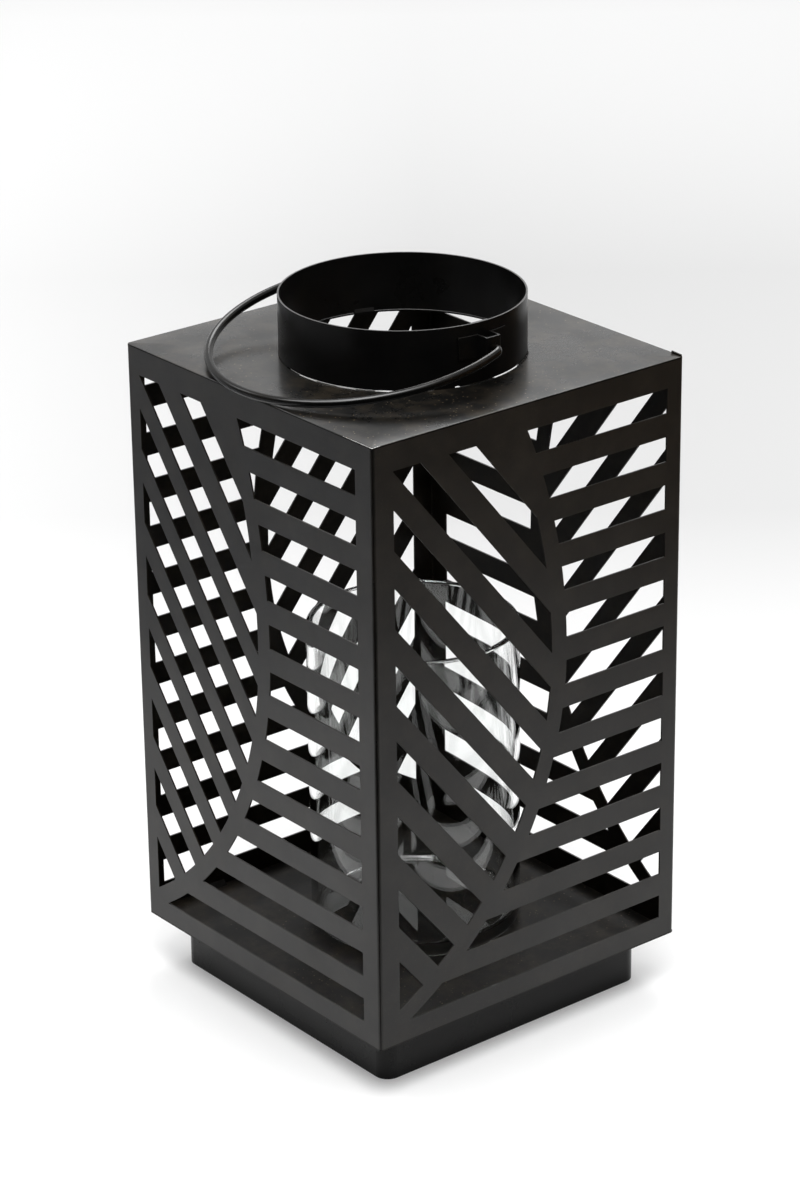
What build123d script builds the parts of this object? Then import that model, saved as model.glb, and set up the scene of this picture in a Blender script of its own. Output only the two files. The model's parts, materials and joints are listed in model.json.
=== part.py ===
from build123d import *
import math
import os
from typing import NamedTuple

# Square lantern of folded sheet steel with leaf-like fretwork in its four walls, a collar with
# a wire bail handle on top, and a loose glass cylinder inside.
# Millimetres, +Z up, origin on the ground under the middle of the plinth.
# The front wall faces -Y and the right wall faces +X.

# Body
sheet = 0.8
body_width = 180.0
body_height = 292.5  # underside of the floor plate to the top of the top plate
corner_radius = 1.8  # outside of the walls' vertical bends
seam_groove = 0.4  # width of the groove outside the corners where two folded sheets meet
plate_edge_round = 0.4

# Plinth
plinth_width = 156.0
plinth_height = 25.5
plinth_corner = 7.0

# Collar
collar_diameter = 113.2
collar_height = 28.2  # rim above the top plate
collar_foot_gap = 0.5  # light gap between the collar's foot and the top plate
collar_hole_clearance = 0.1
lap_from = -6.2  # degrees from +X, where the collar's strip overlaps itself
lap_to = 3.6

# Handle ears
ear_sheet = 1.0
ear_height = 10.5
ear_rim_drop = 5.2  # collar rim to the ear's top edge
ear_projection = 7.4  # collar to the bridge's outer face
ear_bridge = 8.3
ear_flange = 9.3
ear_bend_round = 0.9

# Bail handle
wire_diameter = 4.0
bail_radius = 71.5
bail_arc_offset = 21.8  # hinge axis to the centre of the arc
bail_bend_radius = 4.5
bail_pin_inside = 3.5  # wire past the bridge's inner face
bail_pin_clearance = 0.05
bail_rest_gap = 0.25  # wire to the edge of the top plate it lies on

# Glass cylinder
glass_diameter = 101.0
glass_height = 154.0
glass_wall = 3.0
glass_base = 6.0
glass_corner = 4.0
glass_rim_round = 1.4
glass_x = -5.5
glass_y = 8.5

# Tack welds
tack_leg = 2.5
tack_length = 9.0
tack_spread = 50.0  # tacks along a wall stand this far either side of its middle
seam_tack_count = 5
seam_tack_margin = 40.0
collar_tack_angles = (-25.0, 65.0, 155.0, 245.0)
collar_tack_sweep = 10.0
collar_tack_reach = 0.9  # inwards from the collar's inner face
collar_tack_height = 1.6  # above the collar's foot

# Fretwork shared by the four walls
stripe_count = 12
stripe_height = 12.0
top_margin = 12.4
bottom_margin = 10.0
rib_width = 8.8
vein_count = 9
vein_width = 12.2
vein_pitch = 36.5  # along the wall's height
veins_at_top = 2  # slots that start at the top margin, the others start at the left margin
corner_slot_drop = 9.0  # how much further down the lowest slot runs
rear_rise = 2.6  # how much higher the slots lie in the back and left walls than in the other two
rear_shift = 0.7  # and how much further right, seen from outside


class Motif(NamedTuple):
    """Fretwork sizes that differ between the left and right half of a folded sheet."""

    left_margin: float
    right_margin: float
    rib_bow: float  # left edge of the wall to the rib's furthest point
    rib_bow_drop: float  # top edge of the wall to that point
    rib_upper_radius: float
    rib_lower_radius: float
    vein_angle: float  # degrees below the horizontal
    vein_drop: float  # top edge of the wall to the first slot that starts at the left margin
    top_vein_shift: float  # how much higher the topmost slot lies than its pitch gives


left_half = Motif(
    left_margin=11.5,
    right_margin=9.6,
    rib_bow=110.8,
    rib_bow_drop=123.7,
    rib_upper_radius=275.0,
    rib_lower_radius=179.0,
    vein_angle=50.6,
    vein_drop=30.2,
    top_vein_shift=1.5,
)
right_half = Motif(
    left_margin=9.0,
    right_margin=11.9,
    rib_bow=103.8,
    rib_bow_drop=119.7,
    rib_upper_radius=297.0,
    rib_lower_radius=192.0,
    vein_angle=52.4,
    vein_drop=28.6,
    top_vein_shift=5.0,
)

# Places that follow from the sizes above
body_half = body_width / 2
inner_half = body_half - sheet
floor_top = plinth_height + sheet
plate_top = plinth_height + body_height
wall_top = plate_top - sheet
wall_height = wall_top - floor_top
stripe_pitch = (wall_height - top_margin - bottom_margin - stripe_height) / (stripe_count - 1)

collar_radius = collar_diameter / 2
collar_inner = collar_radius - sheet
collar_foot = plate_top + collar_foot_gap
collar_rim = plate_top + collar_height
plate_hole_radius = collar_radius + collar_hole_clearance

wire_radius = wire_diameter / 2
ear_top = collar_rim - ear_rim_drop
hinge_height = ear_top - ear_height / 2
ear_half = ear_bridge / 2
bridge_outer = collar_radius + ear_projection
bridge_inner = bridge_outer - ear_sheet

# The bail lies on the front edge of the top plate, which sets how far it leans below level
hinge_rise = hinge_height - plate_top
bail_rest_tilt = math.acos((wire_radius + bail_rest_gap) / math.hypot(hinge_rise, body_half)) - math.atan2(
    body_half, hinge_rise
)

glass_radius = glass_diameter / 2

os.makedirs("parts", exist_ok=True)


def turned(x, y, z, turn):
    """A vector turned about the vertical axis, in degrees."""
    return Vector(x, y, z).rotate(Axis.Z, turn)


def plan_plane(height, turn):
    """Horizontal plane at a height, whose x axis is turned from +X."""
    return Plane(origin=(0, 0, height), x_dir=turned(1, 0, 0, turn), z_dir=(0, 0, 1))


def finish_part(builder, label):
    builder.part.label = label
    export_step(builder.part, f"parts/{label}.step")


def left_of_rib(motif, inset):
    """All of a wall left of the rib's right edge, with that edge drawn in by the inset."""
    bow_y = wall_height - motif.rib_bow_drop
    upper_x = motif.rib_bow - motif.rib_upper_radius
    lower_x = motif.rib_bow - motif.rib_lower_radius
    upper_radius = motif.rib_upper_radius - inset
    lower_radius = motif.rib_lower_radius - inset
    with BuildSketch() as field:
        with BuildLine():
            CenterArc((upper_x, bow_y), upper_radius, 0, 90)
            CenterArc((lower_x, bow_y), lower_radius, -90, 90)
            Polyline(
                (lower_x, bow_y - lower_radius),
                (lower_x, bow_y),
                (upper_x, bow_y),
                (upper_x, bow_y + upper_radius),
            )
        make_face()
    return field.sketch


def stripe_slots(motif):
    """Level slots between the rib and the right margin."""
    slot_width = body_width - motif.left_margin - motif.right_margin
    slot_x = (motif.left_margin + body_width - motif.right_margin) / 2
    lowest = bottom_margin + stripe_height / 2
    leaf = left_of_rib(motif, 0)
    with BuildSketch() as slots:
        with Locations(*[(slot_x, lowest + row * stripe_pitch) for row in range(stripe_count)]):
            Rectangle(slot_width, stripe_height)
        add(leaf, mode=Mode.SUBTRACT)
    return slots.sketch


def vein_slots(motif):
    """Slanting slots between the left margin and the rib."""
    vein_depth = vein_width / math.cos(math.radians(motif.vein_angle))
    field_top = wall_height - top_margin
    first = wall_height - motif.vein_drop - vein_depth / 2
    rows = [first + (veins_at_top - row) * vein_pitch for row in range(vein_count)]
    rows[0] += motif.top_vein_shift
    rows.append(rows[-1] - corner_slot_drop)
    leaf = left_of_rib(motif, rib_width)
    with BuildSketch() as slots:
        with Locations(*[(motif.left_margin, row) for row in rows]):
            Rectangle(2 * body_height, vein_width, rotation=-motif.vein_angle)
        add(leaf, mode=Mode.INTERSECT)
        with Locations((motif.left_margin, field_top)):
            Rectangle(body_width, body_height, align=(Align.MIN, Align.MAX), mode=Mode.INTERSECT)
    return slots.sketch


def mitre(side, groove):
    """Points of a wall's cutting outline towards one end, -1 or 1. A groove sets the outer half back."""
    if groove == 0:
        return [(side * body_width, -body_width)]
    middle = body_half - corner_radius + (corner_radius - sheet / 2) / math.sqrt(2)
    back = groove / math.sqrt(2)
    return [
        (side * middle, -middle),
        (side * (middle - back), -middle),
        (side * (body_width - back), -body_width),
    ]


def build_wall(label, turn, motif, left_groove, right_groove, rise, shift):
    """One fretwork wall with half of the bend at each end, mitred on the corner's diagonal."""
    stripes = stripe_slots(motif)
    veins = vein_slots(motif)
    slot_plane = Plane(
        origin=turned(shift - body_half, -body_half, floor_top + rise, turn),
        x_dir=turned(1, 0, 0, turn),
        z_dir=turned(0, -1, 0, turn),
    )
    outline = [(0, 0)] + mitre(-1, left_groove) + mitre(1, right_groove)[::-1]
    with BuildPart() as wall:
        with BuildSketch(plan_plane(floor_top, turn)):
            RectangleRounded(body_width, body_width, corner_radius)
            RectangleRounded(2 * inner_half, 2 * inner_half, corner_radius - sheet, mode=Mode.SUBTRACT)
            with BuildLine():
                Polyline(*outline, close=True)
            make_face(mode=Mode.INTERSECT)
        extrude(amount=wall_height)
        with BuildSketch(slot_plane):
            add(stripes)
            add(veins)
        extrude(amount=2 * sheet, both=True, mode=Mode.SUBTRACT)
    finish_part(wall, label)


def build_seam_tacks(label, turn):
    """Weld beads inside one seam corner, spread over its height."""
    span = wall_height - 2 * seam_tack_margin - tack_length
    with BuildPart() as beads:
        for row in range(seam_tack_count):
            height = floor_top + seam_tack_margin + row * span / (seam_tack_count - 1)
            with BuildSketch(plan_plane(height, turn)):
                RectangleRounded(2 * inner_half, 2 * inner_half, corner_radius - sheet)
                with BuildLine():
                    Polyline(
                        (inner_half, -inner_half),
                        (inner_half, -inner_half + tack_leg),
                        (inner_half - tack_leg, -inner_half),
                        close=True,
                    )
                make_face(mode=Mode.INTERSECT)
            extrude(amount=tack_length)
    finish_part(beads, label)


def build_edge_tacks(label, height, rise):
    """Weld beads between the walls and a plate, two to a wall. The rise is +1 above the plate, -1 below."""
    with BuildPart() as beads:
        for turn in (0, 90, 180, 270):
            for side in (-1, 1):
                start = side * tack_spread - tack_length / 2
                section = Plane(
                    origin=turned(start, -inner_half, height, turn),
                    x_dir=turned(0, 1, 0, turn),
                    z_dir=turned(1, 0, 0, turn),
                )
                with BuildSketch(section):
                    with BuildLine():
                        Polyline((0, 0), (tack_leg, 0), (0, rise * tack_leg), close=True)
                    make_face()
                extrude(amount=tack_length)
    finish_part(beads, label)


def build_ear(label, turn):
    """Hat-shaped strap on the collar, with a hole in its bridge for the end of the bail."""
    flange_outer = collar_radius + ear_sheet
    flange_reach = ear_half + ear_flange
    hole_plane = Plane(
        origin=turned(bridge_outer, 0, hinge_height, turn),
        x_dir=turned(0, 1, 0, turn),
        z_dir=turned(1, 0, 0, turn),
    )
    with BuildPart() as ear:
        with BuildSketch(plan_plane(ear_top - ear_height, turn)):
            Circle(flange_outer)
            Rectangle(flange_outer, 2 * flange_reach, align=(Align.MIN, Align.CENTER), mode=Mode.INTERSECT)
            Rectangle(bridge_outer, ear_bridge, align=(Align.MIN, Align.CENTER))
            Rectangle(
                bridge_inner,
                ear_bridge - 2 * ear_sheet,
                align=(Align.MIN, Align.CENTER),
                mode=Mode.SUBTRACT,
            )
            Circle(collar_radius, mode=Mode.SUBTRACT)
        extrude(amount=ear_height)
        outer_bends = ear.edges().filter_by(Axis.Z).sort_by(lambda edge: edge.center().dot(hole_plane.z_dir))
        fillet(outer_bends[-2:], ear_bend_round)
        with BuildSketch(hole_plane):
            Circle(wire_radius + bail_pin_clearance)
        extrude(amount=-2 * ear_sheet, mode=Mode.SUBTRACT)
    finish_part(ear, label)


# Walls. Two folded sheets: one fold at the front left corner and one at the rear right corner,
# with seams at the front right and rear left corners.
build_wall("wall_front", 0, right_half, 0, seam_groove, 0, 0)
build_wall("wall_right", 90, left_half, seam_groove, 0, 0, 0)
build_wall("wall_back", 180, right_half, 0, seam_groove, rear_rise, rear_shift)
build_wall("wall_left", 270, left_half, seam_groove, 0, rear_rise, rear_shift)

# Weld beads
build_seam_tacks("front_seam_tacks", 0)
build_seam_tacks("rear_seam_tacks", 180)
build_edge_tacks("floor_tacks", floor_top, 1)
build_edge_tacks("top_plate_tacks", wall_top, -1)

# Floor plate
with BuildPart() as floor_plate:
    with BuildSketch(Plane.XY.offset(plinth_height)):
        RectangleRounded(body_width, body_width, corner_radius)
    extrude(amount=sheet)
finish_part(floor_plate, "floor_plate")

# Plinth, a pressed tray turned upside down
with BuildPart() as plinth:
    with BuildSketch():
        RectangleRounded(plinth_width, plinth_width, plinth_corner)
    extrude(amount=plinth_height)
    plinth_inside = plinth_width - 2 * sheet
    with BuildSketch():
        RectangleRounded(plinth_inside, plinth_inside, plinth_corner - sheet)
    extrude(amount=plinth_height - sheet, mode=Mode.SUBTRACT)
finish_part(plinth, "plinth")

# Top plate
with BuildPart() as top_plate:
    with BuildSketch(Plane.XY.offset(wall_top)):
        RectangleRounded(body_width, body_width, corner_radius)
        Circle(plate_hole_radius, mode=Mode.SUBTRACT)
    extrude(amount=sheet)
    fillet(top_plate.faces().sort_by(Axis.Z)[-1].outer_wire().edges(), plate_edge_round)
finish_part(top_plate, "top_plate")

# Collar, a rolled strip whose inner end laps behind the right ear
with BuildPart() as collar:
    with BuildSketch(Plane.XY.offset(collar_foot)):
        Circle(collar_radius)
        Circle(collar_inner, mode=Mode.SUBTRACT)
    extrude(amount=collar_rim - collar_foot)
    lap_plane = Plane(
        origin=(0, 0, 0), x_dir=turned(1, 0, 0, lap_from), z_dir=turned(0, -1, 0, lap_from)
    )
    with BuildSketch(lap_plane):
        with Locations((collar_inner, collar_foot)):
            Rectangle(sheet, collar_rim - collar_foot, align=(Align.MAX, Align.MIN))
    revolve(axis=Axis.Z, revolution_arc=lap_to - lap_from)
finish_part(collar, "collar")

# Weld beads inside the collar's foot
with BuildPart() as collar_tacks:
    tack_inner = collar_inner - collar_tack_reach
    for angle in collar_tack_angles:
        radial_plane = Plane(
            origin=(0, 0, 0), x_dir=turned(1, 0, 0, angle), z_dir=turned(0, -1, 0, angle)
        )
        with BuildSketch(radial_plane):
            with BuildLine():
                Polyline(
                    (tack_inner, wall_top),
                    (plate_hole_radius, wall_top),
                    (plate_hole_radius, collar_foot),
                    (collar_inner, collar_foot),
                    (collar_inner, collar_foot + collar_tack_height),
                    (tack_inner, collar_foot),
                    close=True,
                )
            make_face()
        revolve(axis=Axis.Z, revolution_arc=collar_tack_sweep)
finish_part(collar_tacks, "collar_tacks")

# Handle ears
build_ear("handle_ear_right", 0)
build_ear("handle_ear_left", 180)

# Bail handle: one arc of wire with its ends bent in through the ears
bail_plane = Plane(
    origin=(0, 0, hinge_height),
    x_dir=(1, 0, 0),
    z_dir=(0, math.sin(bail_rest_tilt), -math.cos(bail_rest_tilt)),
)
bend_x = math.sqrt((bail_radius - bail_bend_radius) ** 2 - (bail_arc_offset - bail_bend_radius) ** 2)
bend_angle = math.degrees(math.atan2(bail_bend_radius - bail_arc_offset, bend_x))
pin_end = bridge_inner - bail_pin_inside
with BuildPart() as bail_handle:
    with BuildLine(bail_plane) as bail_path:
        Line((pin_end, 0), (bend_x, 0))
        CenterArc((bend_x, bail_bend_radius), bail_bend_radius, -90, 90 + bend_angle)
        CenterArc((0, bail_arc_offset), bail_radius, bend_angle, 180 - 2 * bend_angle)
        CenterArc((-bend_x, bail_bend_radius), bail_bend_radius, 180 - bend_angle, 90 + bend_angle)
        Line((-bend_x, 0), (-pin_end, 0))
    with BuildSketch(Plane(origin=(pin_end, 0, hinge_height), z_dir=(1, 0, 0))):
        Circle(wire_radius)
    sweep(path=bail_path.line)
finish_part(bail_handle, "bail_handle")

# Glass cylinder
with BuildPart() as glass_cylinder:
    glass_plane = Plane(origin=(glass_x, glass_y, floor_top), x_dir=(1, 0, 0), z_dir=(0, -1, 0))
    bore_radius = glass_radius - glass_wall
    with BuildSketch(glass_plane):
        with BuildLine():
            Polyline(
                (0, 0),
                (glass_radius, 0),
                (glass_radius, glass_height),
                (bore_radius, glass_height),
                (bore_radius, glass_base),
                (0, glass_base),
                close=True,
            )
        make_face()
    revolve(axis=Axis((glass_x, glass_y, 0), (0, 0, 1)))
    rings = glass_cylinder.edges().filter_by(GeomType.CIRCLE)
    fillet(rings.group_by(Axis.Z)[-1], glass_rim_round)
    base_rings = glass_cylinder.edges().filter_by(GeomType.CIRCLE).group_by(Axis.Z)
    fillet(base_rings[0] + base_rings[1], glass_corner)
finish_part(glass_cylinder, "glass_cylinder")
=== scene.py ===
import bmesh
import bpy
import json
import math
from mathutils import Matrix, Vector, noise


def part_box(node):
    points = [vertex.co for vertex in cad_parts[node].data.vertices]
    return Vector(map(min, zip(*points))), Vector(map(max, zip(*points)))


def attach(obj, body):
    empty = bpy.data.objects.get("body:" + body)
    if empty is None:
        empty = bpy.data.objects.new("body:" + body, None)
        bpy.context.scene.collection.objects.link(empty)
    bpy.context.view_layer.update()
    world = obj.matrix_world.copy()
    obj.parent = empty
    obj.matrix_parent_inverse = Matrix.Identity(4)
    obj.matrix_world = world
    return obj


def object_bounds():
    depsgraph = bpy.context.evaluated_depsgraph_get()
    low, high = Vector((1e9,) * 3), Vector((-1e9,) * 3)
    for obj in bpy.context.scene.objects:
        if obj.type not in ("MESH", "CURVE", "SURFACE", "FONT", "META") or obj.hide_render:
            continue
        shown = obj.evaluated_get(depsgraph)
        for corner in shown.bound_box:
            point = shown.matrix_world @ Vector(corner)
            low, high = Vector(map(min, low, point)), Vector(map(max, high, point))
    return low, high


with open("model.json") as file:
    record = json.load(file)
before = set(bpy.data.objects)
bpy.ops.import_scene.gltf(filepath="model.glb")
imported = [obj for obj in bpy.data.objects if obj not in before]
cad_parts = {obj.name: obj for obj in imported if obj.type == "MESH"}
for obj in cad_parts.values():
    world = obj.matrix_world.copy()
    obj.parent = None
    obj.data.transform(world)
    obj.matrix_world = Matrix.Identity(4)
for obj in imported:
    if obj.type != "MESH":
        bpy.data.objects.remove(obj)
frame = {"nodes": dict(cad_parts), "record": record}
nodes = frame["nodes"]
cad_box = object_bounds()

# Camera, as the photograph was taken: angles in degrees, places in metres, lens in millimetres
CAMERA_AZIMUTH = 51.283
CAMERA_ELEVATION = 23.016
CAMERA_ROLL = -0.704
CAMERA_PLACE = (1.2795, -1.0292, 0.8920)
CAMERA_LENS = 114.73
SENSOR_WIDTH = 36.0
NEAR_CLIP = 0.01

# Floor, in metres, with its glow as a radiance, where 1 is white
WHITE = (1, 1, 1, 1)
FLOOR_RADIUS = 6.0
FLOOR_SIDES = 96
FLOOR_DROP = 0.0001
FLOOR_COLOUR = (0.86, 0.86, 0.86, 1)
FLOOR_SHADE = (0.42, 0.42, 0.42, 1)
FLOOR_GLOW = 0.19
# Painted shade on the floor, a grey band: each ramp's two distances back from the object, and its levels
# there
BAND_NEAR = (-0.15, 0.60, 0.0, 1.0)
BAND_FAR = (1.08, 1.85, 1.0, 0.36)
# Ends of the band: each ramp's two distances to the object's right, and its levels there
BAND_LEFT = (-0.34, 0.02, 0.62, 1.0)
BAND_RIGHT = (0.02, 0.32, 1.0, 0.92)

# World: its least and greatest radiance, and how its bright side is raised and turned, in degrees
WORLD_DIM = 0.08
WORLD_BRIGHT = 0.76
WORLD_TILT = 35.0
WORLD_TURN = 20.0
# Cosines of the angle to the bright side, up to which the world is dim and from which it is bright
WORLD_DIM_TO = -0.55
WORLD_BRIGHT_FROM = 0.75

# Lamps: the direction in which each stands as seen from the object, sizes in metres, power in watts
LAMPS = {
    "key": {"towards": (-0.72, -0.37, 0.56), "distance": 1.6, "size": 0.40, "power": 2.5},
    "overhead": {"towards": (0.25, -0.20, 0.92), "distance": 2.0, "size": 1.4, "power": 40.0},
    "back": {"towards": (-0.46, 0.52, 0.72), "distance": 2.0, "size": 0.9, "power": 19.0},
    "glint": {"towards": (-0.05, -0.38, 0.87), "distance": 2.0, "size": 1.5, "power": 85.0},
}
# Lamps that only show in glossy paint and in glass
MIRRORED_LAMPS = ("glint",)

# Cards: the direction of each in degrees from the camera's, sizes in metres, and its two tones
CARDS = {
    "card_right": {
        "turn": 80,
        "distance": 0.50,
        "half_width": 0.60,
        "height": 0.60,
        "dark": (0.12, 0.070, 0.030, 1),
        "light": (0.18, 0.108, 0.048, 1),
    },
    "card_left": {
        "turn": -100,
        "distance": 0.46,
        "half_width": 0.60,
        "height": 0.22,
        "dark": (0.53, 0.54, 0.56, 1),
        "light": (0.64, 0.65, 0.68, 1),
    },
    "card_front": {
        "turn": 0,
        "distance": 0.26,
        "half_width": 0.26,
        "height": 0.40,
        "dark": (0.02, 0.02, 0.02, 1),
        "light": (0.04, 0.04, 0.04, 1),
    },
}

# Noises: scale per metre, detail and roughness
CLOUD_NOISE = (9.0, 4.0, 0.6)
SMEAR_NOISE = (38.0, 5.0, 0.62)
GRAIN_NOISE = (1500.0, 2.0, 0.5)
HAZE_NOISE = (60.0, 7.0, 0.7)
PATCH_NOISE = (17.0, 3.0, 0.6)
STAIN_NOISE = (24.0, 6.0, 0.6)
GLASS_NOISE = (46.0, 5.0, 0.65)
# Mottling of the pale colour that paints highlights
HIGHLIGHT_NOISE = (900.0, 4.0, 0.7)
CARD_NOISE = (60.0, 3.0, 0.6)

# Paints, with the settings of satin_paint
PAINTS = {
    "wall_paint": {
        "colour": (0.0044, 0.0036, 0.0026),
        "roughness": 0.42,
        "shine": 0.06,
        "peel": 0.12,
        "dust": 0.6,
        "cling": 0.4,
        "stain": 0.10,
        "coat": ("out", 0.56, 0.38),
    },
    "floor_paint": {
        "colour": (0.0046, 0.0040, 0.0034),
        "roughness": 0.42,
        "shine": 0.16,
        "peel": 0.0,
        "dust": 0.8,
    },
    "plinth_paint": {
        "colour": (0.0024, 0.0024, 0.0023),
        "roughness": 0.26,
        "shine": 0.17,
        "peel": 0.05,
    },
    "top_paint": {
        "colour": (0.0028, 0.0027, 0.0023),
        "roughness": 0.46,
        "shine": 0.09,
        "peel": 0.03,
        "dust": 0.9,
        "stain": 0.22,
        "coat": ("up", 0.80, 0.18),
        "droop": 0.0008,
    },
    "collar_paint": {
        "colour": (0.0034, 0.0033, 0.0032),
        "roughness": 0.30,
        "shine": 0.09,
        "coat": ("up", 0.8, 0.30),
    },
    "wire_paint": {
        "colour": (0.0016, 0.0016, 0.0015),
        "roughness": 0.20,
        "shine": 0.24,
    },
    "weld_paint": {
        "colour": (0.0014, 0.0013, 0.0012),
        "roughness": 0.45,
        "shine": 0.10,
        "peel": 0.30,
    },
}
PAINT_IOR = 1.5
# Mottling: shares of the paint's colour, and the noise between which it goes from one to the other
DARK_SHARE = 0.72
LIGHT_SHARE = 1.3
TONE_RANGE = (0.3, 0.72)
# Roughness: how far two noises change it either way, and the range of noise that does
CLOUD_CHANGE = 0.03
SMEAR_CHANGE = 0.025
ROUGHNESS_RANGE = (0.3, 0.7)
# Bumps, in metres: the orange peel's height, and how far out a sheet starts to droop and ends
PEEL_HEIGHT = 0.0001
DROOP_RANGE = (0.074, 0.090)
# Dust: how far up a face looks where dust starts to lie and lies in full, and the noise of its haze
DUST_COLOUR = (0.30, 0.23, 0.15, 1)
DUST_FACING = (0.1, 0.8)
HAZE_RANGE = (0.45, 0.72, 0.0, 0.10)
# Specks of dust: cells per metre, the draw above which a cell has one, its edge, and their patches
SPECK_SCALE = 620.0
SPECK_DRAW = 0.80
SPECK_EDGE = (0.12, 0.28, 1.0, 0.0)
PATCH_RANGE = (0.44, 0.66, 0.04, 0.75)
# Coat: how far up or out a face looks where the coat starts and is full, and the noise of its stains
COAT_UP = (0.25, 0.75)
COAT_OUT = (0.0, 0.05)
STAIN_RANGE = (0.32, 0.68)
# Height in metres that is added to the outward direction, so that a wall's upper edges count as outside
OUTWARD_LIFT = 0.06

# Glass, with the noise of its smears and the roughness that they give
GLASS_COLOUR = (0.985, 0.995, 0.99, 1)
GLASS_IOR = 1.48
GLASS_SMEARS = (0.55, 0.8, 0.0, 0.015)
# How far the glass swells, so that its foot meets the floor plate with no film of air to mirror in
GLASS_SWELL = 0.00003

# Pale colour that paints highlights: the bright line at the collar's foot, and the top plate's fold, where
# the paint is also rubbed through; with the noise between which it goes from dark to light
HIGHLIGHT_DARK = (0.62, 0.62, 0.60, 1)
HIGHLIGHT_LIGHT = (0.92, 0.92, 0.90, 1)
HIGHLIGHT_RANGE = (0.35, 0.65)
HIGHLIGHT_ROUGHNESS = 0.45

# Edges: how near points are joined in metres, and the angle in degrees from which an edge is a fold
JOIN_DISTANCE = 0.000002
FOLD_ANGLE = 35.0
# How much more a large face counts in a shared normal: 50 is no more, and 100 the most
AREA_WEIGHT = 100
# Parts whose cut edges are rounded, how far in metres, and in how many steps
EARS = ("handle_ear_right", "handle_ear_left")
EDGE_ROUNDING = 0.00015
ROUNDING_STEPS = 2

# Beads: steps along a run, and sides around it
BEAD_STEPS = 72
BEAD_SIDES = 8
# Painted highlight at the collar's foot, a pale bead for the bright line there: angles in degrees, metres
# in from its face, air, and share at its ends
FOOT_HIGHLIGHT_ARC = (-102, -48)
FOOT_HIGHLIGHT_INSET = 0.0002
FOOT_HIGHLIGHT_AIR = 0.00003
FOOT_HIGHLIGHT_END = 0.35
FOOT_HIGHLIGHT_TAPER = 0.5
# Weld at the collar's foot: angles in degrees, metres out from its face, least half width and gain
FOOT_WELD_ARC = (25, 46)
FOOT_WELD_OUTSET = 0.0003
FOOT_WELD_LEAST = 0.00016
FOOT_WELD_GAIN = 0.00042
FOOT_WELD_TAPER = 0.4
# Ripples of that weld: their mean, and each one's share, pace and shift
RIPPLE_MEAN = 0.5
RIPPLES = ((0.3, 23.0, 0.0), (0.2, 51.0, 1.0))
# Rubbed corner of the top plate, whose pale bead also paints the fold's highlight: how far its fold lies in
# from the plate's faces, and the lengths rubbed through
PLATE_FOLD = 0.00011
WORN_HIGHLIGHT_FRONT = 0.020
WORN_HIGHLIGHT_SIDE = 0.005
# Bead on that corner: least half width and gain, and its ripple's share and pace
WORN_HIGHLIGHT_LEAST = 0.00002
WORN_HIGHLIGHT_GAIN = 0.00008
WORN_HIGHLIGHT_RIPPLE = 0.25
WORN_HIGHLIGHT_PACE = 40.0

# Weld spots on the front seam: how far in from the walls' faces, heights above their foot, half sizes
SEAM_INSET = 0.00065
SEAM_SPOTS = (0.154, 0.186, 0.229)
SPOT_SIZE = (0.00045, 0.00045, 0.0008)
SPOT_SEED = 2.0
# Lumps: how finely they are cut, how uneven they are, and the scale and steps of the noise for that
LUMP_FINENESS = 3
LUMP_UNEVENNESS = 0.22
LUMP_SCALE = 1.7
LUMP_STEP = 3.0
# Lip on the right rear corner: from the right face, from the back face, and from the plate's top
LIP_START = 0.0070
LIP_END = 0.0006
LIP_INNER = 0.0008
LIP_OUTER = 0.00002
LIP_ROOT = 0.0006
LIP_RISE = (0.0011, 0.0008, 0.0008, 0.0011)
# Nib under that corner: from the walls' faces, from their foot, and the width of its tip
NIB_NEAR = 0.0003
NIB_FAR = 0.0019
NIB_ROOT = 0.0004
NIB_DROP = 0.0008
NIB_TIP = 0.0007
WEDGE_ROUNDING = 0.00012


def show(name, data):
    """A new object in the scene."""
    made = bpy.data.objects.new(name, data)
    bpy.context.scene.collection.objects.link(made)
    return made


def make_camera():
    """Camera fitted to the photograph."""
    azimuth = math.radians(CAMERA_AZIMUTH)
    elevation = math.radians(CAMERA_ELEVATION)
    roll = math.radians(CAMERA_ROLL)
    back = Vector(
        (
            math.sin(azimuth) * math.cos(elevation),
            -math.cos(azimuth) * math.cos(elevation),
            math.sin(elevation),
        )
    )
    level = Vector((math.cos(azimuth), math.sin(azimuth), 0))
    upright = back.cross(level)
    right = math.cos(roll) * level + math.sin(roll) * upright
    up = -math.sin(roll) * level + math.cos(roll) * upright
    data = bpy.data.cameras.new("camera")
    data.lens = CAMERA_LENS
    data.sensor_width = SENSOR_WIDTH
    data.clip_start = NEAR_CLIP
    camera = show("camera", data)
    turned = Matrix((right, up, back)).transposed().to_4x4()
    camera.matrix_world = Matrix.Translation(CAMERA_PLACE) @ turned
    bpy.context.scene.camera = camera


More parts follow.
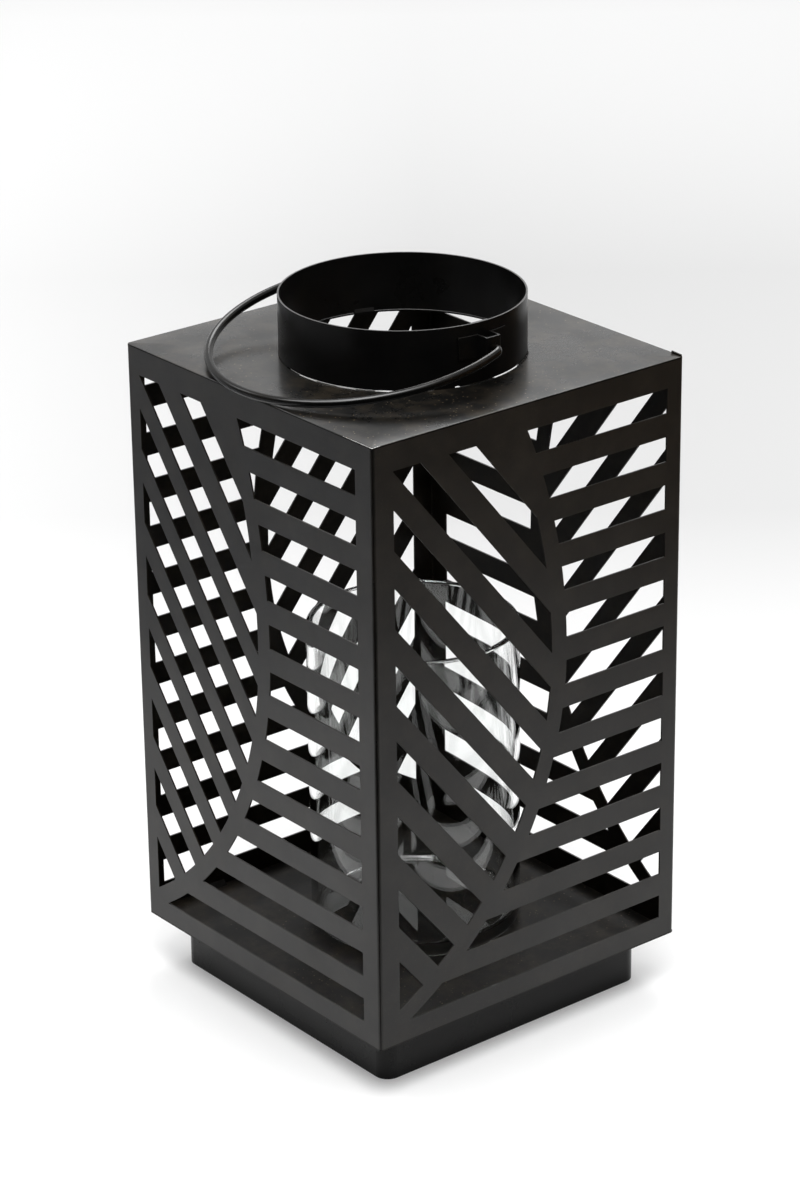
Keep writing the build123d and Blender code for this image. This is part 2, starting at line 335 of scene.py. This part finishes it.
class Shader:
    """A material's node tree, with short ways to add and join nodes."""

    # Colour sockets of a Mix node, by number because their names repeat for each kind of data
    MIX_FIRST = 6
    MIX_SECOND = 7
    MIX_RESULT = 2

    def __init__(self, name):
        self.material = bpy.data.materials.new(name)
        self.material.use_nodes = True
        self.tree = self.material.node_tree
        self.tree.nodes.clear()
        self.output = self.add("ShaderNodeOutputMaterial")

    def add(self, kind, settings=None, **inputs):
        """A new node, with its own properties as settings and what goes into its sockets as inputs."""
        node = self.tree.nodes.new(kind)
        for key, value in (settings or {}).items():
            setattr(node, key, value)
        for key, value in inputs.items():
            self.put(node, key.replace("_", " "), value)
        return node

    def put(self, node, socket, value):
        """Set a node's socket to a value, or link another node's socket to it."""
        if isinstance(value, bpy.types.NodeSocket):
            self.tree.links.new(value, node.inputs[socket])
        else:
            node.inputs[socket].default_value = value

    def place(self):
        """The point on the object in metres, in the frame's own axes."""
        return self.add("ShaderNodeTexCoord").outputs["Object"]

    def noise(self, place, scale, detail, roughness):
        return self.add(
            "ShaderNodeTexNoise",
            Vector=place,
            Scale=scale,
            Detail=detail,
            Roughness=roughness,
        ).outputs["Fac"]

    def spread(self, value, low, high, to_low=0.0, to_high=1.0):
        """A value mapped from one range to another, and kept inside it."""
        return self.add(
            "ShaderNodeMapRange",
            Value=value,
            From_Min=low,
            From_Max=high,
            To_Min=to_low,
            To_Max=to_high,
        ).outputs["Result"]

    def math(self, operation, first, second):
        node = self.add("ShaderNodeMath", {"operation": operation})
        self.put(node, 0, first)
        self.put(node, 1, second)
        return node.outputs[0]

    def blend(self, factor, first, second):
        """A mix of two colours."""
        node = self.add("ShaderNodeMix", {"data_type": "RGBA"})
        self.put(node, "Factor", factor)
        self.put(node, self.MIX_FIRST, first)
        self.put(node, self.MIX_SECOND, second)
        return node.outputs[self.MIX_RESULT]

    def along(self, place, direction):
        """How far a point lies in a direction."""
        node = self.add("ShaderNodeVectorMath", {"operation": "DOT_PRODUCT"})
        self.put(node, 0, place)
        self.put(node, 1, direction)
        return node.outputs["Value"]

    def away_from_axis(self, place, lift):
        """The direction from the frame's axis to a point, raised by a fixed height."""
        node = self.add("ShaderNodeVectorMath", {"operation": "MULTIPLY_ADD"})
        self.put(node, 0, place)
        self.put(node, 1, (1, 1, 0))
        self.put(node, 2, (0, 0, lift))
        return node.outputs["Vector"]

    def from_middle(self, place):
        """How far a point lies from the frame's axis, along X or along Y, whichever is further."""
        node = self.add("ShaderNodeVectorMath", {"operation": "ABSOLUTE"})
        self.put(node, 0, place)
        parts = self.add("ShaderNodeSeparateXYZ", Vector=node.outputs["Vector"]).outputs
        return self.math("MAXIMUM", parts["X"], parts["Y"])

    def bump(self, height, strength, distance):
        return self.add("ShaderNodeBump", Height=height, Strength=strength, Distance=distance)

    def finish(self, shader):
        """Link the last node to the output, and give the material."""
        self.tree.links.new(shader.outputs[0], self.output.inputs["Surface"])
        return self.material


def settle_dust(shade, tone, place, upward, dust, cling):
    """A tone under dust, which lies on what faces up and clings a little to the sides."""
    settled = shade.math("MULTIPLY", shade.spread(upward, *DUST_FACING, cling, 1.0), dust)
    haze = shade.spread(shade.noise(place, *HAZE_NOISE), *HAZE_RANGE)
    tone = shade.blend(shade.math("MULTIPLY", haze, settled), tone, DUST_COLOUR)
    cells = shade.add("ShaderNodeTexVoronoi", Vector=place, Scale=SPECK_SCALE)
    draw = shade.add("ShaderNodeSeparateColor", Color=cells.outputs["Color"]).outputs["Red"]
    speck = shade.spread(cells.outputs["Distance"], *SPECK_EDGE)
    patch = shade.spread(shade.noise(place, *PATCH_NOISE), *PATCH_RANGE)
    chosen = shade.math("MULTIPLY", shade.math("GREATER_THAN", draw, SPECK_DRAW), speck)
    thick = shade.math("MULTIPLY", settled, settled)
    specks = shade.math("MULTIPLY", chosen, shade.math("MULTIPLY", patch, thick))
    return shade.blend(specks, tone, DUST_COLOUR)


def uneven_normal(shade, place, peel, droop):
    """The normal of paint with a fine orange peel, on a sheet whose edges bend down by the droop."""
    normal = shade.bump(shade.noise(place, *GRAIN_NOISE), peel, PEEL_HEIGHT)
    if droop:
        bend = shade.spread(shade.from_middle(place), *DROOP_RANGE)
        sheet = shade.bump(shade.math("MULTIPLY", bend, bend), 1.0, -droop)
        shade.put(normal, "Normal", sheet.outputs["Normal"])
    return normal.outputs["Normal"]


def satin_paint(
    name,
    colour,
    roughness,
    shine,
    peel=0.04,
    dust=0.3,
    cling=0.15,
    stain=0.08,
    coat=None,
    droop=0.0,
):
    """
    Black satin paint, mottled and dusty. Shine is its specular level and peel its orange peel. Dust is
    how much lies on what faces up, and cling the share of that on the sides. A coat is the side that it
    glosses ("up" or "out"), its weight and its roughness, and stain is how uneven it is. Droop is how
    far a sheet bends down at the body's edges, in metres.
    """
    shade = Shader(name)
    place = shade.place()
    cloud = shade.noise(place, *CLOUD_NOISE)
    smear = shade.noise(place, *SMEAR_NOISE)
    dark = tuple(DARK_SHARE * part for part in colour) + (1,)
    light = tuple(LIGHT_SHARE * part for part in colour) + (1,)
    tone = shade.blend(shade.spread(smear, *TONE_RANGE), dark, light)
    facing = shade.add("ShaderNodeNewGeometry").outputs["Normal"]
    upward = shade.along(facing, (0, 0, 1))
    normal = uneven_normal(shade, place, peel, droop)
    patchy_roughness = shade.math(
        "ADD",
        shade.spread(cloud, *ROUGHNESS_RANGE, roughness - CLOUD_CHANGE, roughness + CLOUD_CHANGE),
        shade.spread(smear, *ROUGHNESS_RANGE, -SMEAR_CHANGE, SMEAR_CHANGE),
    )
    principled = shade.add(
        "ShaderNodeBsdfPrincipled",
        Base_Color=settle_dust(shade, tone, place, upward, dust, cling),
        Roughness=patchy_roughness,
        Normal=normal,
        Specular_IOR_Level=shine,
        IOR=PAINT_IOR,
    )
    if coat:
        side, weight, coat_roughness = coat
        if side == "up":
            glossy = shade.spread(upward, *COAT_UP, 0.0, weight)
        else:
            outward = shade.along(facing, shade.away_from_axis(place, OUTWARD_LIFT))
            glossy = shade.spread(outward, *COAT_OUT, 0.0, weight)
        blotch = shade.spread(shade.noise(place, *STAIN_NOISE), *STAIN_RANGE, 1.0 - stain, 1.0 + stain)
        shade.put(principled, "Coat Weight", shade.math("MULTIPLY", glossy, blotch))
        shade.put(principled, "Coat Normal", normal)
        shade.put(principled, "Coat Roughness", coat_roughness)
    return shade.finish(principled)


def clear_glass():
    """Clear soda glass with faint smears on its faces."""
    shade = Shader("clear_glass")
    smear = shade.noise(shade.place(), *GLASS_NOISE)
    principled = shade.add(
        "ShaderNodeBsdfPrincipled",
        Base_Color=GLASS_COLOUR,
        Roughness=shade.spread(smear, *GLASS_SMEARS),
        Transmission_Weight=1.0,
        IOR=GLASS_IOR,
    )
    return shade.finish(principled)


def pale_highlight_steel():
    """Pale, mottled colour that paints bright highlights along edges; on the top plate's fold it also shows
    paint rubbed through.
    """
    shade = Shader("pale_highlight_steel")
    mottle = shade.noise(shade.place(), *HIGHLIGHT_NOISE)
    tone = shade.blend(shade.spread(mottle, *HIGHLIGHT_RANGE), HIGHLIGHT_DARK, HIGHLIGHT_LIGHT)
    return shade.finish(shade.add("ShaderNodeBsdfPrincipled", Base_Color=tone, Roughness=HIGHLIGHT_ROUGHNESS))


def paint_nodes():
    """Give each CAD node the material of its slot in the record."""
    paints = {name: satin_paint(name, **settings) for name, settings in PAINTS.items()}
    paints["clear_glass"] = clear_glass()
    slots = {item["node"]: item["material_slot"] for item in frame["record"]["subparts"]}
    for name, node in nodes.items():
        for slot in node.material_slots:
            slot.material = paints[slots[name]]
    return paints


def joined_faces():
    """Node group that joins a part's faces along their edges, with smooth shading up to sharp folds."""
    group = bpy.data.node_groups.new("joined_faces", "GeometryNodeTree")
    group.interface.new_socket("Geometry", in_out="INPUT", socket_type="NodeSocketGeometry")
    group.interface.new_socket("Geometry", in_out="OUTPUT", socket_type="NodeSocketGeometry")
    start = group.nodes.new("NodeGroupInput")
    merge = group.nodes.new("GeometryNodeMergeByDistance")
    merge.inputs["Distance"].default_value = JOIN_DISTANCE
    plain = group.nodes.new("GeometryNodeRemoveAttribute")
    plain.inputs["Name"].default_value = "custom_normal"
    smooth = group.nodes.new("GeometryNodeSetShadeSmooth")
    angle = group.nodes.new("GeometryNodeInputMeshEdgeAngle")
    gentle = group.nodes.new("FunctionNodeCompare")
    gentle.operation = "LESS_THAN"
    gentle.inputs[1].default_value = math.radians(FOLD_ANGLE)
    edges = group.nodes.new("GeometryNodeSetShadeSmooth")
    edges.domain = "EDGE"
    finish = group.nodes.new("NodeGroupOutput")
    link = group.links.new
    link(start.outputs[0], merge.inputs["Geometry"])
    link(merge.outputs["Geometry"], plain.inputs["Geometry"])
    link(plain.outputs["Geometry"], smooth.inputs["Geometry"])
    link(smooth.outputs["Geometry"], edges.inputs["Geometry"])
    link(angle.outputs["Unsigned Angle"], gentle.inputs[0])
    link(gentle.outputs[0], edges.inputs["Shade Smooth"])
    link(edges.outputs["Geometry"], finish.inputs[0])
    return group


def join_faces(names, group):
    for name in names:
        nodes[name].modifiers.new("joined", "NODES").node_group = group


def swell_out(name, distance):
    """Move a part's faces out by a hair."""
    swell = nodes[name].modifiers.new("swell", "DISPLACE")
    swell.mid_level = 0.0
    swell.strength = distance


def even_normals(name):
    """Let a part's large faces set the normals that they share with small ones."""
    weighted = nodes[name].modifiers.new("weighted", "WEIGHTED_NORMAL")
    weighted.mode = "FACE_AREA_WITH_ANGLE"
    weighted.weight = AREA_WEIGHT


def soften_edges(names, width):
    """Round the cut edges of parts whose faces are joined, so that they catch the light."""
    for name in names:
        bevel = nodes[name].modifiers.new("bevel", "BEVEL")
        bevel.width = width
        bevel.segments = ROUNDING_STEPS
        bevel.limit_method = "ANGLE"
        bevel.angle_limit = math.radians(FOLD_ANGLE)
        bevel.harden_normals = True


def mesh_of(name, shape):
    """A mesh with the faces that were drawn."""
    mesh = bpy.data.meshes.new(name)
    shape.to_mesh(mesh)
    shape.free()
    return mesh


def add_piece(mesh, material):
    """A piece of the scene that is welded to the lantern's body, named as its mesh is."""
    mesh.materials.append(material)
    piece = show(mesh.name, mesh)
    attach(piece, "lantern")


def arc_points(radius, height, first, last):
    """Points along a circle about the frame's axis, between two angles in degrees."""
    turns = [math.radians(first + (last - first) * step / BEAD_STEPS) for step in range(BEAD_STEPS + 1)]
    return [Vector((radius * math.cos(turn), radius * math.sin(turn), height)) for turn in turns]


def bead(name, material, points, thickness):
    """Round bead along level points. Thickness gives its half width at each share of the way."""
    shape = bmesh.new()
    rings = []
    last = len(points) - 1
    for count, point in enumerate(points):
        ahead = points[min(count + 1, last)] - points[max(count - 1, 0)]
        across = Vector((ahead.y, -ahead.x, 0)).normalized()
        half = thickness(count / last)
        ring = []
        for side in range(BEAD_SIDES):
            turn = 2 * math.pi * side / BEAD_SIDES
            offset = across * math.cos(turn) + Vector((0, 0, math.sin(turn)))
            ring.append(shape.verts.new(point + half * offset))
        rings.append(ring)
    for before, after in zip(rings, rings[1:]):
        for side in range(BEAD_SIDES):
            following = (side + 1) % BEAD_SIDES
            shape.faces.new((before[side], after[side], after[following], before[following]))
    shape.faces.new(rings[0])
    shape.faces.new(rings[-1][::-1])
    bmesh.ops.recalc_face_normals(shape, faces=shape.faces)
    mesh = mesh_of(name, shape)
    mesh.shade_smooth()
    add_piece(mesh, material)


def collar_foot(highlight_steel, weld):
    """What shows along the collar's foot: a pale bead in front that paints a bright highlight line, and a
    weld on the right.
    """
    low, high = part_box("collar")
    plate_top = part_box("top_plate")[1][2]
    radius = (high[0] - low[0]) / 2
    middle = (plate_top + low[2]) / 2
    room = (low[2] - plate_top) / 2

    def foot_highlight_width(along):
        return (room - FOOT_HIGHLIGHT_AIR) * (FOOT_HIGHLIGHT_END + (1 - FOOT_HIGHLIGHT_END) * math.sin(math.pi * along) ** FOOT_HIGHLIGHT_TAPER)

    def welded(along):
        wave = sum((share * math.sin(pace * along + shift) for share, pace, shift in RIPPLES), RIPPLE_MEAN)
        return FOOT_WELD_LEAST + FOOT_WELD_GAIN * wave * abs(math.sin(math.pi * along)) ** FOOT_WELD_TAPER

    # The pale bead paints a highlight where a bright line shows at the foot
    bead("collar_foot_highlight", highlight_steel, arc_points(radius - FOOT_HIGHLIGHT_INSET, middle, *FOOT_HIGHLIGHT_ARC), foot_highlight_width)
    bead("collar_foot_weld", weld, arc_points(radius + FOOT_WELD_OUTSET, middle, *FOOT_WELD_ARC), welded)


def worn_highlight_corner(highlight_steel):
    """Pale bead along the top plate's fold, at the corner nearest the camera: paint rubbed through,
    coloured pale to paint the fold's highlight too.
    """
    low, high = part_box("top_plate")
    side = high[0] - PLATE_FOLD
    front = low[1] + PLATE_FOLD
    height = high[2] - PLATE_FOLD
    shares = [step / BEAD_STEPS for step in range(BEAD_STEPS)]
    front_run = [Vector((side - WORN_HIGHLIGHT_FRONT * (1 - share), front, height)) for share in shares]
    side_run = [Vector((side, front + WORN_HIGHLIGHT_SIDE * share, height)) for share in shares[1:]]

    def worn_highlight_width(along):
        ripple = 1 - WORN_HIGHLIGHT_RIPPLE + WORN_HIGHLIGHT_RIPPLE * math.sin(WORN_HIGHLIGHT_PACE * along)
        return WORN_HIGHLIGHT_LEAST + WORN_HIGHLIGHT_GAIN * abs(math.sin(math.pi * along)) * ripple

    # Painted highlight along the fold, on paint rubbed through
    bead("plate_worn_highlight_edge", highlight_steel, front_run + side_run, worn_highlight_width)


def lump_mesh(name, places, size, seed):
    """Small uneven lumps of weld."""
    shape = bmesh.new()
    for count, place in enumerate(places):
        made = bmesh.ops.create_icosphere(shape, subdivisions=LUMP_FINENESS, radius=1.0)
        shift = Vector((seed, LUMP_STEP * count, 0))
        for vertex in made["verts"]:
            swell = 1 + LUMP_UNEVENNESS * noise.noise(vertex.co * LUMP_SCALE + shift)
            scaled = Vector((part * width for part, width in zip(vertex.co * swell, size)))
            vertex.co = scaled + Vector(place)
    mesh = mesh_of(name, shape)
    mesh.shade_smooth()
    return mesh


def rectangle(first, last, inner, outer, height):
    """Corners of a level rectangle, between two places along X and two along Y."""
    return [(first, inner, height), (last, inner, height), (last, outer, height), (first, outer, height)]


def wedge_mesh(name, foot, head):
    """Solid between two four-sided outlines, with its edges rounded."""
    shape = bmesh.new()
    lower = [shape.verts.new(point) for point in foot]
    upper = [shape.verts.new(point) for point in head]
    shape.faces.new(lower[::-1])
    shape.faces.new(upper)
    for corner in range(len(lower)):
        following = (corner + 1) % len(lower)
        shape.faces.new((lower[corner], lower[following], upper[following], upper[corner]))
    bmesh.ops.recalc_face_normals(shape, faces=shape.faces)
    edges = shape.edges[:]
    bmesh.ops.bevel(shape, geom=edges, offset=WEDGE_ROUNDING, segments=ROUNDING_STEPS, affect="EDGES")
    return mesh_of(name, shape)


def seam_spots(weld):
    """Weld spots on the front seam."""
    low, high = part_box("wall_right")
    seam = high[0] - SEAM_INSET
    spots = [(seam, -seam, low[2] + height) for height in SEAM_SPOTS]
    add_piece(lump_mesh("seam_weld_spots", spots, SPOT_SIZE, SPOT_SEED), weld)


def corner_lip(paint):
    """Lip of the wall's sheet that stands up over the top plate, at the right rear corner."""
    side, back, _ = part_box("wall_right")[1]
    plate_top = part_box("top_plate")[1][2]
    start = side - LIP_START
    end = side - LIP_END
    foot = rectangle(start, end, back - LIP_INNER, back - LIP_OUTER, plate_top - LIP_ROOT)
    head = [(x, y, plate_top + rise) for (x, y, _), rise in zip(foot, LIP_RISE)]
    add_piece(wedge_mesh("corner_lip", foot, head), paint)


def corner_nib(paint):
    """Nib of the wall's sheet that points down under the right rear corner."""
    low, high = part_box("wall_right")
    near = high[0] - NIB_NEAR
    far = high[0] - NIB_FAR
    tip = near - NIB_TIP
    head = rectangle(far, near, far, near, low[2] + NIB_ROOT)
    foot = rectangle(tip, near, tip, near, low[2] - NIB_DROP)
    add_piece(wedge_mesh("corner_nib", foot, head), paint)


def floor_band(shade):
    """How far the floor goes from its colour to its painted shade: a soft band behind the object."""
    azimuth = math.radians(CAMERA_AZIMUTH)
    place = shade.place()
    behind = shade.along(place, (-math.sin(azimuth), math.cos(azimuth), 0))
    aside = shade.along(place, (math.cos(azimuth), math.sin(azimuth), 0))
    depth = shade.math("MULTIPLY", shade.spread(behind, *BAND_NEAR), shade.spread(behind, *BAND_FAR))
    width = shade.math("MULTIPLY", shade.spread(aside, *BAND_LEFT), shade.spread(aside, *BAND_RIGHT))
    return shade.math("MULTIPLY", depth, width)


def make_floor():
    """Wide white floor with a band of painted grey shade, which glows a little where it is seen or
    mirrored.
    """
    turns = [2 * math.pi * step / FLOOR_SIDES for step in range(FLOOR_SIDES)]
    points = [(FLOOR_RADIUS * math.cos(turn), FLOOR_RADIUS * math.sin(turn), -FLOOR_DROP) for turn in turns]
    mesh = bpy.data.meshes.new("floor")
    mesh.from_pydata(points, [], [list(range(FLOOR_SIDES))])
    floor = show("floor", mesh)
    shade = Shader("floor")
    path = shade.add("ShaderNodeLightPath").outputs
    seen = shade.math("ADD", path["Is Camera Ray"], path["Is Glossy Ray"])
    seen = shade.math("MINIMUM", shade.math("ADD", seen, path["Is Transmission Ray"]), 1.0)
    # Painted grey shade in a band behind the object
    tone = shade.blend(floor_band(shade), FLOOR_COLOUR, FLOOR_SHADE)
    paper = shade.add("ShaderNodeBsdfDiffuse", Color=tone)
    level = shade.math("MULTIPLY", seen, FLOOR_GLOW)
    glow = shade.add("ShaderNodeEmission", Color=WHITE, Strength=level)
    both = shade.add("ShaderNodeAddShader")
    shade.put(both, 0, paper.outputs[0])
    shade.put(both, 1, glow.outputs[0])
    mesh.materials.append(shade.finish(both))


def make_card(name, turn, distance, half_width, height, dark, light):
    """Card beside the object that only mirrored rays see."""
    heading = math.radians(CAMERA_AZIMUTH + turn)
    towards = Vector((math.sin(heading), -math.cos(heading), 0))
    across = Vector((math.cos(heading), math.sin(heading), 0))
    foot = [distance * towards - half_width * across, distance * towards + half_width * across]
    head = [point + Vector((0, 0, height)) for point in reversed(foot)]
    mesh = bpy.data.meshes.new(name)
    mesh.from_pydata(foot + head, [], [(0, 1, 2, 3)])
    card = show(name, mesh)
    card.visible_camera = False
    card.visible_diffuse = False
    card.visible_transmission = False
    card.visible_shadow = False
    shade = Shader(name)
    tone = shade.blend(shade.noise(shade.place(), *CARD_NOISE), dark, light)
    mesh.materials.append(shade.finish(shade.add("ShaderNodeBsdfDiffuse", Color=tone)))


def make_lamp(name, towards, distance, size, power):
    """Softbox that faces the middle of the object's top."""
    data = bpy.data.lights.new(name, "AREA")
    data.shape = "SQUARE"
    data.size = size
    data.energy = power
    lamp = show(name, data)
    lamp.visible_diffuse = name not in MIRRORED_LAMPS
    direction = Vector(towards).normalized()
    lamp.location = Vector((0, 0, cad_box[1][2])) + distance * direction
    lamp.rotation_euler = direction.to_track_quat("Z", "Y").to_euler()


def make_world():
    """White studio, bright above and behind the object and dim on the camera's side."""
    world = bpy.data.worlds.new("studio")
    world.use_nodes = True
    nodes_of_world = world.node_tree.nodes
    link = world.node_tree.links.new
    azimuth = math.radians(CAMERA_AZIMUTH - WORLD_TURN)
    tilt = math.radians(WORLD_TILT)
    direction = nodes_of_world.new("ShaderNodeTexCoord")
    backward = nodes_of_world.new("ShaderNodeVectorMath")
    backward.operation = "DOT_PRODUCT"
    backward.inputs[1].default_value = (
        -math.sin(azimuth) * math.cos(tilt),
        math.cos(azimuth) * math.cos(tilt),
        math.sin(tilt),
    )
    level = nodes_of_world.new("ShaderNodeMapRange")
    level.interpolation_type = "SMOOTHSTEP"
    level.inputs["From Min"].default_value = WORLD_DIM_TO
    level.inputs["From Max"].default_value = WORLD_BRIGHT_FROM
    level.inputs["To Min"].default_value = WORLD_DIM
    level.inputs["To Max"].default_value = WORLD_BRIGHT
    background = nodes_of_world["Background"]
    background.inputs["Color"].default_value = WHITE
    link(direction.outputs["Generated"], backward.inputs[0])
    link(backward.outputs["Value"], level.inputs["Value"])
    link(level.outputs["Result"], background.inputs["Strength"])
    bpy.context.scene.world = world


make_camera()
paints = paint_nodes()
join_faces(("glass_cylinder",) + EARS, joined_faces())
swell_out("glass_cylinder", GLASS_SWELL)
even_normals("glass_cylinder")
soften_edges(EARS, EDGE_ROUNDING)
# Pale colour that paints highlights on the collar's foot and on the top plate's rubbed fold
highlight_steel = pale_highlight_steel()
collar_foot(highlight_steel, paints["weld_paint"])
worn_highlight_corner(highlight_steel)
seam_spots(paints["weld_paint"])
corner_lip(paints["wall_paint"])
corner_nib(paints["wall_paint"])
make_floor()
for card_name, card_settings in CARDS.items():
    make_card(card_name, **card_settings)
for lamp_name, lamp_settings in LAMPS.items():
    make_lamp(lamp_name, **lamp_settings)
make_world()
bpy.context.scene.view_settings.view_transform = "Standard"
